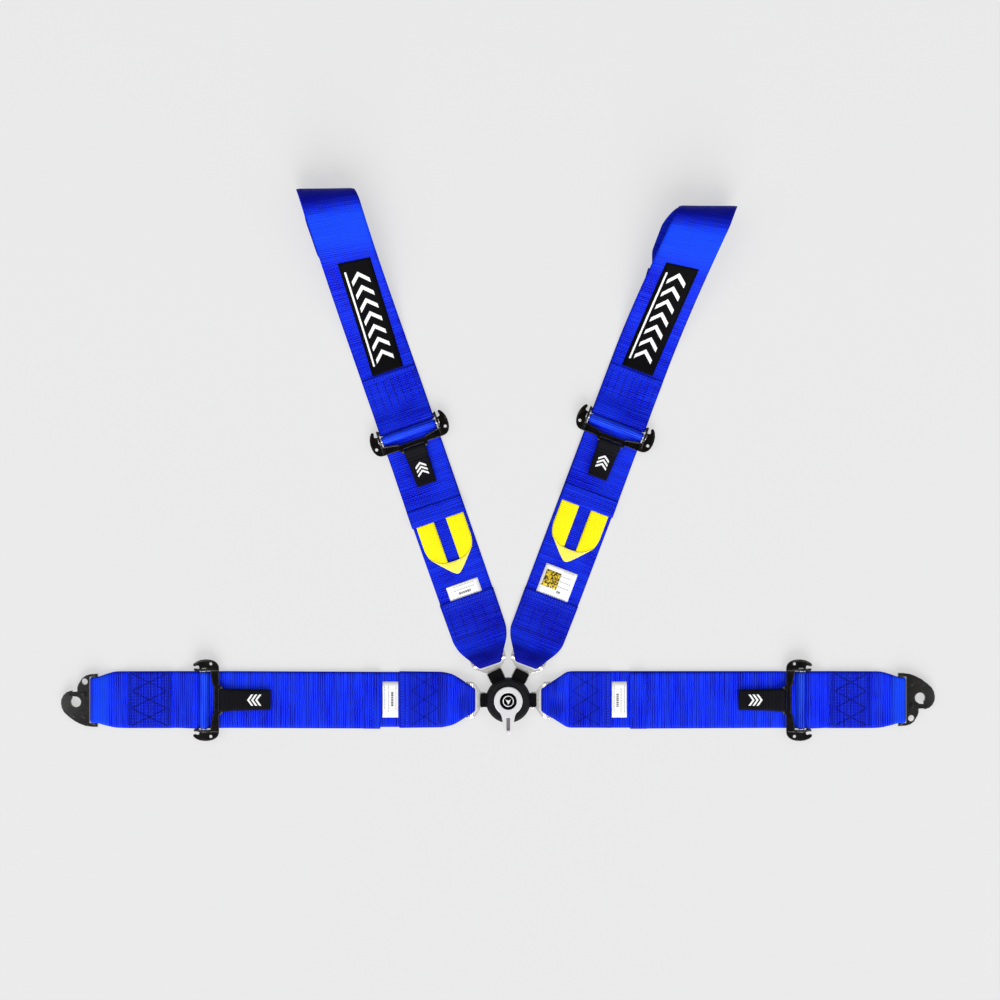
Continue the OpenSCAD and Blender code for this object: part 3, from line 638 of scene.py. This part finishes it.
# ---------- straps ----------
def lower_belt(st, index, web):
    """The belt from the patch round the tongue's bar, along the floor and round the slide bar."""
    k, R = st.key, st.roll
    p0, p1 = st.patch
    line = [(p1, SECOND)] + slope(p0 + 1, SECOND, 0, 12.2)
    line += arc(0, BAR_Z, LOOP_R, 95, 265) + slope(0, 3.8, 36, FIRST)
    line += [(R - 30 + i * 2.5, under(-30 + i * 2.5) + FIRST) for i in range(12)]
    line += arc(R, ROLL_Z, ROLL_R, -90, 180, 22) + [(R - 4.5, 10.4)] + arc(R - 6.6, 10, 2.1, 0, -90, 6)
    calm = smooth_noise(index + 3, 0.10, 90, 160)

    def wave(u, s, w):
        live = np.clip((s - 20) / 60, 0, 1) * np.clip((R - 40 - s) / 40, 0, 1)
        creases = 1.4 * np.cos(w / 5.6 + 0.5) - 0.9 * (np.abs(w) / 26) ** 3
        near_bar = np.exp(-(((s - 14) / 12) ** 2)) * np.clip(s / 8, 0, 1)
        return calm(u, s, w) * live + creases * near_bar

    to_bar = math.hypot(p1, 10) + 6  # so that u is nought at the tongue's bar
    line = with_half(line, lower_half(st))
    low = ribbon(k + "_belt", st, line, WEB, web, wave=wave, u0=-to_bar)
    # the turn round the slide bar takes the brighter copy of the weave, a painted highlight
    low.data.materials.append(web_roll_highlight)
    for poly in low.data.polygons:
        if (poly.center - st.o).dot(st.d) > (R - 7.5) * MM:
            poly.material_index = 1
    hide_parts(k + "_lower_webbing", k + "_roll")
    st.at(max(p1, st.label[1]) + 6, 0, 0)
    st.at(R - 32, 0, 0)
    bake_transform(low)


def tail_belt(st, index, web):
    """The loose end of the same belt, folded back on itself and sewn."""
    k, R, E = st.key, st.roll, st.tail
    z0 = 4.3 if st.shoulder else 3.0  # the yellow loop lies under a shoulder strap's end
    line = [(R - 6.6, 7.9)] + [(R - 8 - i * 2.4, under(-8 - i * 2.4) + 3.0) for i in range(10)]
    line += [(R - 31, 3.0)] + slope(E + 36, 3.0, E + 26, z0, 4) + [(E + 1.2, z0)]
    line += arc(E + 1.2, z0 + 0.95, 0.95, 270, 90, 6) + [(E + 20, z0 + 1.9), (E + 23, z0 + 1.85)]
    skew = (0.9, -1.0, 0.8, -0.8)[index]

    def shift(s):
        return skew * max(0, (R - 40 - s) / (R - 40 - E))

    wave = smooth_noise(index + 11, 0.08, 70, 120)
    line = with_half(line, full_half)
    tail = ribbon(k + "_tail_belt", st, line, WEB, web, wave=wave, shift=shift, u0=900)
    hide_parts(k + "_tail")
    st.at(E + 26, 0, 0)
    st.at(R - 12, 0, 0)
    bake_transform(tail)
    rows = [seam(E + 5, 35.5, skew), seam(E + 17, 35.5, skew)]
    for i in range(14):
        a, b = -35 + i * 5 + skew, -32.5 + i * 5 + skew
        rows += [((E + 7.5, a), (E + 14.5, b)), ((E + 14.5, b), (E + 7.5, a + 5))]
    stitches(k + "_tail_thread", st, rows, z0 + 2.62, thread_navy, k + "_tail_end", 2.6, 0.9, 0.5, index)


def label(st, index):
    """The white cloth label, printed with plain grey bars and no lettering."""
    k = st.key
    l0, l1 = st.label
    lw = st.label_w / 2
    tag = slab(k + "_tag", st, l0, l1, -lw, lw, 1.86, 0.45, label_white)
    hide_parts(k + "_label")
    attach(tag, k + "_strap")
    rnd = random.Random(40 + index)
    with_foil = k == "right_shoulder"
    shapes = []
    for n_row, rs in enumerate(np.linspace(l0 + 3, l1 - 3, 4 if l1 - l0 < 30 else 6)):
        bold = n_row == 1
        h = 1.5 if bold else 0.5
        w = -lw + (14 if bold else 4 + rnd.uniform(0, 4))
        stop = lw - (26 if with_foil and rs > l0 + 8 else 16 if bold else 4 + rnd.uniform(0, 8))
        while w < stop:
            ln = rnd.uniform(1.4, 2.6) if bold else rnd.uniform(1.2, 3.2)
            bar = [(rs + h, w), (rs + h, w + ln), (rs - h, w + ln), (rs - h, w)]
            shapes.append((bar, 0 if bold else 1))
            w += ln + rnd.uniform(0.5, 0.9)
    inks = [print_grey, print_pale]
    plates(k + "_tag_print", st, shapes, level(2.34), 0.04, inks, k + "_strap")
    if with_foil:
        foil = slab(k + "_tag_foil", st, l0 + 12, l0 + 35, -2, 19, 2.3, 0.12, gold_foil, 6, 6)
        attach(foil, k + "_strap")


def pull_tab(st):
    """The black ribbon round the adjuster's rim bar, with three plain chevrons."""
    k, R = st.key, st.roll
    tip, rim = R - st.tab, R - RIM_BACK
    line = [(tip + 0.6, 7.95), (R - 34, 7.95)] + slope(R - 34, 7.95, rim, 7.75, 4)
    line += arc(rim, RIM_Z, RIM_R, -84, 84, 10) + slope(rim, 12.55, R - 37, 9.2, 8) + [(tip + 0.6, 9.2)]

    def wave(u, s, w):
        near = np.clip((s - (R - 45)) / 6, 0, 1) * np.clip((R - 27 - s) / 4, 0, 1)
        return 0.35 * near * np.sin(s * 1.25)

    line = with_half(line, lambda s: 13.4 + 1.8 * clamp((s - R + 40) / 8))
    tab = ribbon(k + "_tab_ribbon", st, line, 1.2, black_rib, 0.9, 10, wave=wave)
    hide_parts(k + "_pull_tab")
    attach(tab, k + "_tab")
    shapes = []
    for c in (0, 5.4, 10.8):
        a = tip + 13 + c
        shapes.append(([(a, -7.5), (a + 2.9, -7.5), (a + 8.4, 0), (a + 5.5, 0)], 0))
        shapes.append(([(a + 5.5, 0), (a + 8.4, 0), (a + 2.9, 7.5), (a, 7.5)], 0))
    plates(k + "_tab_print", st, shapes, level(9.86), 0.08, [print_white], k + "_tab")
    rows = [seam(tip + 4, 11.5), seam(tip + 6.5, 11.5)]
    stitches(k + "_tab_thread", st, rows, 9.75, black_rib, k + "_tab", 2.2, 0.8, 0.5)


def patch_threads(st, index):
    """The stitched patch next to the tongue."""
    k, W = st.key, SEW_HALF
    p0, p1 = st.patch
    blue = [seam(p1 - 3.2, W), seam(p1 - 5.4, W)]
    navy = [seam(p0 + 4, W - 2), seam(p0 + 6.2, W - 1)]
    for i in range(13):
        a = -W + i * (2 * W / 13)
        b = a + W / 13
        blue += [((p1 - 7.5, a), (p1 - 13, b)), ((p1 - 13, b), (p1 - 7.5, a + 2 * W / 13))]
    if st.shoulder:
        navy += wavy_rows(p0 + 9, p1 - p0 - 26, 9, 5, 2.2)
    else:
        for third in range(3):
            navy += cross(p0 + 8, p1 - 16, third)
    z = 3.62
    stitches(k + "_patch_thread_dark", st, navy, z, thread_navy, k + "_strap", 2.8, 0.6, 0.8, index + 20)
    stitches(k + "_patch_thread", st, blue, z, thread_blue, k + "_strap", 2.6, 1.2, 0.6, index + 30)


def shoulder_anchor_belt(st, index, web):
    """The belt from the sewn box round the adjuster's rear bar, up over the arch and down to the hook."""
    A, H, c = st.rear, st.hook, st.arch
    line = [(st.box[1], SECOND)] + slope(A + 30, SECOND, A, 9.7) + arc(A, REAR_Z, LOOP_R, 95, 265)
    line += slope(A, 1.3, A + 30, FIRST) + [(RISE_START, FIRST)]
    pts = with_half(line, full_half)
    slip, last = (4.5, 1.0) if st.lean > 0 else (8.0, 11.2)  # drift where the arch starts and at its top
    steps = 40
    for i in range(1, steps + 1):
        t = i / steps
        q = smooth(t)
        spot = (RISE_START + (c - RISE_START) * t, FIRST + 2 * ARCH_R * q)
        pts.append((*spot, HALF - 1.2 * q, RISE_LEAN * q, -slip * t**2))
    lead = sum(math.dist(a[:2], b[:2]) for a, b in zip(pts, pts[1:-1]))
    for i in range(1, steps + 1):
        a = 90 - 180 * i / steps
        q = smooth(1 - abs(2 * i / steps - 1))
        drift = slip + (last - slip) * (1 - math.cos(math.radians(90 - a))) if a >= 0 else last * (1 + a / 90)
        spot = (c + ARCH_R * math.cos(math.radians(a)), FIRST + ARCH_R + ARCH_R * math.sin(math.radians(a)))
        pts.append((*spot, HALF - 1.2 - 1.2 * q, RISE_LEAN + (1 - RISE_LEAN) * q, -drift))
    for i in range(1, 9):
        pts.append((c - 50 * i / 8, FIRST, HALF, RISE_LEAN * (1 - i / 8)))
    line = slope(H + 28, FIRST, H, 1.8) + arc(H, HOOK_Z, LOOP_R, -95, -265)
    line += slope(H, 10.2, H + 28, SECOND) + [(H + 46, SECOND)]
    pts += with_half(line, lambda s: float(np.interp(s, [H, H + 7, H + 28], [30, 30, HALF])))
    noise = smooth_noise(index + 17, 0.22, 120, 150)

    def wave(u, s, w):
        return noise(u, s, w) * np.clip((s - RISE_START) / 60, 0, 1)

    # the arch starts at the same u on both straps, where the material's painted highlight and painted shade
    # zones expect it
    start = 1978 - lead
    name = st.key + "_anchor_belt"
    return ribbon(name, st, pts, WEB, web, wave=wave, turn=st.lean, u0=start)


def lap_anchor_belt(st, index, web):
    """The belt from the sewn box round the hook's bar and back round the adjuster's rear bar."""
    A, H = st.rear, st.hook
    b0, b1 = st.box
    line = [(b0, 4.5), (b1 - 3, 4.5)] + slope(b1 - 3, 4.5, b1 + 8, SECOND, 4)
    line += slope(H - 26, SECOND, H, 10.2)
    line += [(H + 1.3 * (q - H), z) for q, z in arc(H, HOOK_Z, LOOP_R, 85, -85)]
    line += slope(H, 1.8, H - 28, FIRST) + slope(A + 30, FIRST, A, 1.3)
    line += arc(A, REAR_Z, LOOP_R, 265, 95) + slope(A, 9.7, A + 28, 2.68) + [(b1 - 1, 2.68)]
    at, wide = [H - 30, H - 24, H - 10, H - 5, H + 9], [HALF, HALF - 0.8, 33, 30.5, 30]
    line = with_half(line, lambda s: float(np.interp(s, at, wide)))
    wave = smooth_noise(index + 17, 0.12, 60, 120)
    return ribbon(st.key + "_anchor_belt", st, line, WEB, web, wave=wave, u0=1500)


def box_threads(st, index):
    """The sewn box next to the adjuster."""
    k, W = st.key, SEW_HALF
    b0, b1 = st.box
    navy, blue = [], []
    if st.shoulder:
        z = 3.62
        blue += [seam(b1 - 3, W), seam(b1 - 5.4, W), seam(b0 + 3, W), seam(b0 + 5.5, W)]
        navy += wavy_rows(b0 + 8, b1 - b0 - 16, 11, 7, 1.8)
    else:
        z = 5.42
        for e in (2.6, 5.0):
            navy += [seam(b0 + e, W), seam(b1 - e, W)]
        for third in range(3):
            navy += cross(b0 + 8, b1 - 8, third, 0.6) + cross(b0 + 8.8, b1 - 7.2, third, 0.6)
        n = int((b1 - b0 - 16) / 4.2)
        blue += [seam(b0 + 8 + i * (b1 - b0 - 16) / n, W - 1) for i in range(n + 1)]
    body = k + "_anchor_strap"
    stitches(k + "_box_thread_dark", st, navy, z, thread_navy, body, 3.0, 0.5, 0.85, index + 50)
    stitches(k + "_box_thread", st, blue, z, thread_blue, body, 2.0, 2.2, 0.5, index + 60)


def chest_patch(st):
    """The black patch on the rising part of a shoulder belt, with a plain bar and chevrons."""
    k, b1 = st.key, st.box[1]
    span = st.arch - RISE_START
    half = 21.75

    def lay(s, w, lift):
        """The point that is w across and lift above the belt's middle layer at s."""
        t = clamp((s - RISE_START) / span)
        z = FIRST + 2 * ARCH_R * smooth(t)
        dz = 2 * ARCH_R * 6 * t * (1 - t) / span
        ga = math.radians(st.lean * RISE_LEAN * smooth(t))
        w -= (7.0 if st.lean > 0 else 5.6) * (s - b1) / 150
        n = Vector((-dz * math.cos(ga), dz * math.sin(ga), math.cos(ga))).normalized()
        return (s + w * math.tan(ga) + n.x * lift, w + n.y * lift, z + n.z * lift)

    q0, q1 = b1 + 2, 563
    n_u, n_w = 60, 8
    verts, uv = [], []
    for is_top, off in ((True, 2.05), (False, 0.98)):
        for i in range(n_u):
            s = q0 + (q1 - q0) * i / (n_u - 1)
            for j in range(n_w):
                w = half * (-1 + 2 * j / (n_w - 1))
                on_rim = min(i, n_u - 1 - i, j, n_w - 1 - j) == 0
                verts.append(lay(s, w, off - 0.35 if is_top and on_rim else off))
                uv.append((s * MM, w * MM))
    pt = make(k + "_patch_cloth", st.array(verts), sheet_faces(n_u, n_w), uv, [patch_black])
    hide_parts(k + "_patch")
    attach(pt, k + "_anchor_strap")
    pieces = split([(q0 + 12, 14.6), (q1 - 12, 14.6), (q1 - 12, 17), (q0 + 12, 17)], 40)
    for i in range(7):
        a = q0 + 14 + i * 17.6
        pieces += split([(a, -13), (a + 11, 0), (a + 17, 0), (a + 6, -13)], 4)
        pieces += split([(a + 11, 0), (a, 11), (a + 6, 11), (a + 17, 0)], 4)
    shapes = [(q, 0) for q in pieces]

    def surface(s, w, lift):
        return lay(s, w, 2.1 + lift)

    name = k + "_patch_print"
    plates(name, st, shapes, surface, 0.07, [print_white], k + "_anchor_strap")


def yellow_loop(st):
    """The yellow ribbon: two legs from under the tail, and the end folded over to a point."""
    k, E, ap = st.key, st.tail, st.apex
    inner = 8.4

    def crease(w):
        """Where the folded end starts."""
        return ap + 17.6 + 0.6 * (min(abs(w), 9) / 9) ** 2 + 10.3 * max(0, (abs(w) - 9) / 20) ** 1.8

    def leg(name, sgn):
        n_u, n_w = 40, 10
        s_hi = E + 20
        verts, uv = [], []
        for side in (1, -1):
            for i in range(n_u):
                t = i / (n_u - 1)
                for j in range(n_w):
                    x = j / (n_w - 1)
                    bottom = crease(inner + 20.6 * x) - 1.6 * (1 - x**4)
                    s = s_hi + (bottom - s_hi) * t
                    outer = 33.2 - 9.3 * min(max(0, (ap + 46 - s) / 26), 0.66) ** 2
                    w = inner + (outer - inner) * x
                    puff = 1.1 * math.sin(math.pi * min(1, t * 1.05)) ** 2 * math.sin(math.pi * x)
                    half_thick = 0.55 * (0.4 + 0.6 * min(1, 6 * min(x, 1 - x) + 0.2))
                    z = 2.75 + (puff if s < E else 0) + 0.9 * t**4
                    verts.append((s, sgn * w, z + side * half_thick))
                    uv.append((s * MM, w * MM))
        faces = sheet_faces(n_u, n_w)
        if sgn > 0:
            faces = [f[::-1] for f in faces]
        return make(name, st.array(verts), faces, uv, [yellow])

    legs = [leg(k + "_yellow_leg_a", 1), leg(k + "_yellow_leg_b", -1)]
    n_u, n_w = 24, 25
    verts, uv = [], []
    for side in (1, -1):
        for j in range(n_w):
            x = -1 + 2 * j / (n_w - 1)
            w = 29.6 * x
            s_top = crease(w)
            s_out = min(s_top - 0.2, ap + 1.13 * (math.sqrt(w * w + 20) - 4.47))
            for i in range(n_u):
                t = i / (n_u - 1)
                puff = math.sin(math.pi * t) * (1 - abs(x) ** 3)
                half_thick = 0.5 * (0.5 + 0.5 * min(1, 5 * min(t, 1 - t)))
                s = s_top + (s_out - s_top) * t
                verts.append((s, w, 4.5 - 1.5 * t + puff + side * half_thick))
                uv.append((s * MM, w * MM))
    faces = [f[::-1] for f in sheet_faces(n_w, n_u)]
    fold = make(k + "_yellow_fold", st.array(verts), faces, uv, [yellow_back])
    for o in legs + [fold]:
        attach(o, k + "_tail_end")
    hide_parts(k + "_yellow_loop")


for index, st in enumerate(STRAPS):
    k = st.key
    web = web_sh if st.shoulder else web_lap
    lower_belt(st, index, web)
    tail_belt(st, index, web)
    label(st, index)
    pull_tab(st)
    patch_threads(st, index)
    up = shoulder_anchor_belt(st, index, web) if st.shoulder else lap_anchor_belt(st, index, web)
    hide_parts(k + "_upper_webbing")
    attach(up, k + "_anchor_strap")
    box_threads(st, index)
    if st.shoulder:
        chest_patch(st)
        yellow_loop(st)

# ---------- hard parts, which keep their CAD shape ----------
for st in STRAPS:
    paint(st.key + "_tongue", chrome)
    paint(st.key + "_slide_bar", steel)
    paint(st.key + "_adjuster_frame", black_steel)
    paint(st.key + "_hook", black_steel)
    paint(st.key + "_gate", gate_steel)
for node in (
    "latch_spring", "return_spring", "fixed_tongue_pin", "housing_screws", "centre_shaft", "cam_rotor"
):
    paint(node, steel)
paint("back_pad", pad_rubber)
paint("buckle_base", base_black)
paint("dial_cover", dial_black)
paint("release_lever", lever_silver)
paint("lever_cap", cap_black)


def disc(name, shapes, z, material, body):
    """Thin flat shapes, given in millimetres, with their tops at height z in metres."""
    thick = 0.0003
    verts, faces = [], []
    for pts in shapes:
        k, n = len(verts), len(pts)
        verts += [(x * MM, y * MM, z) for x, y in pts] + [(x * MM, y * MM, z - thick) for x, y in pts]
        faces.append(tuple(range(k, k + n)))
        faces += [(k + i, k + n + i, k + n + (i + 1) % n, k + (i + 1) % n) for i in range(n)]
    o = make(name, verts, faces, None, [material], False)
    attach(o, body)


# a plain ring and pointer on the lever's cap
cap_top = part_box("lever_cap")[1].z + 0.00004
ring = []
for i in range(48):
    a, b = 2 * math.pi * i / 48, 2 * math.pi * (i + 1) / 48
    ring.append([(r * math.cos(t), r * math.sin(t)) for r, t in ((7.4, a), (7.4, b), (6.2, b), (6.2, a))])
pointer = [(-3.6, 2.6), (0, -4.4), (3.6, 2.6), (0, 1.0)]
disc("cap_ring", ring, cap_top - 0.0001, satin, "release")
disc("cap_pointer", [pointer], cap_top, satin, "release")

# ---------- floor, light, camera ----------
FLOOR_HALF, FLOOR_Z = 20, -0.0006
floor_mat = Mat("floor", (0.24, 0.24, 0.24), 0.9, spec=0.0)
fn = floor_mat.noise(None, 3.0, 2.0)
floor_mat.colour(floor_mat.mix(fn, (0.242, 0.242, 0.242), (0.238, 0.238, 0.238)))
floor_mat.b.inputs["Emission Color"].default_value = (1, 1, 1, 1)
floor_mat.b.inputs["Emission Strength"].default_value = 0.53
corners = [(x * FLOOR_HALF, y * FLOOR_HALF, FLOOR_Z) for x, y in ((-1, -1), (1, -1), (1, 1), (-1, 1))]
floor = make("floor", corners, [(0, 1, 2, 3)], None, [floor_mat.m], False)

# a pale sky with a dark band above the horizon and a dark spot overhead, for the metal to reflect
world = bpy.data.worlds.new("studio")
bpy.context.scene.world = world
world.use_nodes = True
wn, wl = world.node_tree.nodes, world.node_tree.links
coord, height, sky = (wn.new("ShaderNode" + kind) for kind in ("TexCoord", "SeparateXYZ", "ValToRGB"))
wl.new(coord.outputs["Generated"], height.inputs[0])
wl.new(height.outputs["Z"], sky.inputs[0])
low_white, high_white = sky.color_ramp.elements
low_white.position, low_white.color = 0.12, (1, 1, 1, 1)
high_white.position, high_white.color = 0.7, (1, 1, 1, 1)
for at_z, grey in ((0.2, 0.02), (0.35, 0.02), (0.955, 1.0), (0.985, 0.08)):
    sky.color_ramp.elements.new(at_z).color = (grey, grey, grey * 1.04, 1)
wl.new(sky.outputs[0], wn["Background"].inputs[0])
wn["Background"].inputs[1].default_value = 0.62


def add_light(name, data, toward):
    """Adds a light that shines along the direction toward."""
    o = bpy.data.objects.new(name, data)
    bpy.context.scene.collection.objects.link(o)
    o.rotation_mode = "QUATERNION"
    o.rotation_quaternion = Vector(toward).to_track_quat("-Z", "Y")
    return o


def area(name, loc, target, w, h, power):
    light = bpy.data.lights.new(name, "AREA")
    light.shape = "RECTANGLE"
    light.size, light.size_y, light.energy = w, h, power
    add_light(name, light, Vector(target) - Vector(loc)).location = loc


def sun(name, comes_from, strength, spread):
    light = bpy.data.lights.new(name, "SUN")
    light.energy, light.angle = strength, math.radians(spread)
    add_light(name, light, -Vector(comes_from))


sun("key", (0.12, -1.5, 1.0), 3.3, 50)
sun("fill", (-0.9, 0.5, 2.0), 0.35, 40)
area("strip_left", (-1.6, -0.3, 1.4), (0, 0.25, 0), 0.25, 1.6, 5)
area("strip_right", (1.6, -0.3, 1.4), (0, 0.25, 0), 0.25, 1.6, 5)

# the camera looks straight down, and sees SEEN metres across at the straps' own height
HEIGHT, STRAP_HEIGHT, SEEN, SENSOR = 2.5, 0.004, 1.34, 36
cam_data = bpy.data.cameras.new("camera")
cam = bpy.data.objects.new("camera", cam_data)
bpy.context.scene.collection.objects.link(cam)
bpy.context.scene.camera = cam
cam.location = (-0.011, 0.2675, HEIGHT)
cam.rotation_euler = (0, 0, 0)
cam_data.sensor_width = SENSOR
cam_data.lens = SENSOR * (HEIGHT - STRAP_HEIGHT) / SEEN
cam_data.clip_start, cam_data.clip_end = 0.05, 50
bpy.context.scene.view_settings.view_transform = "Standard"
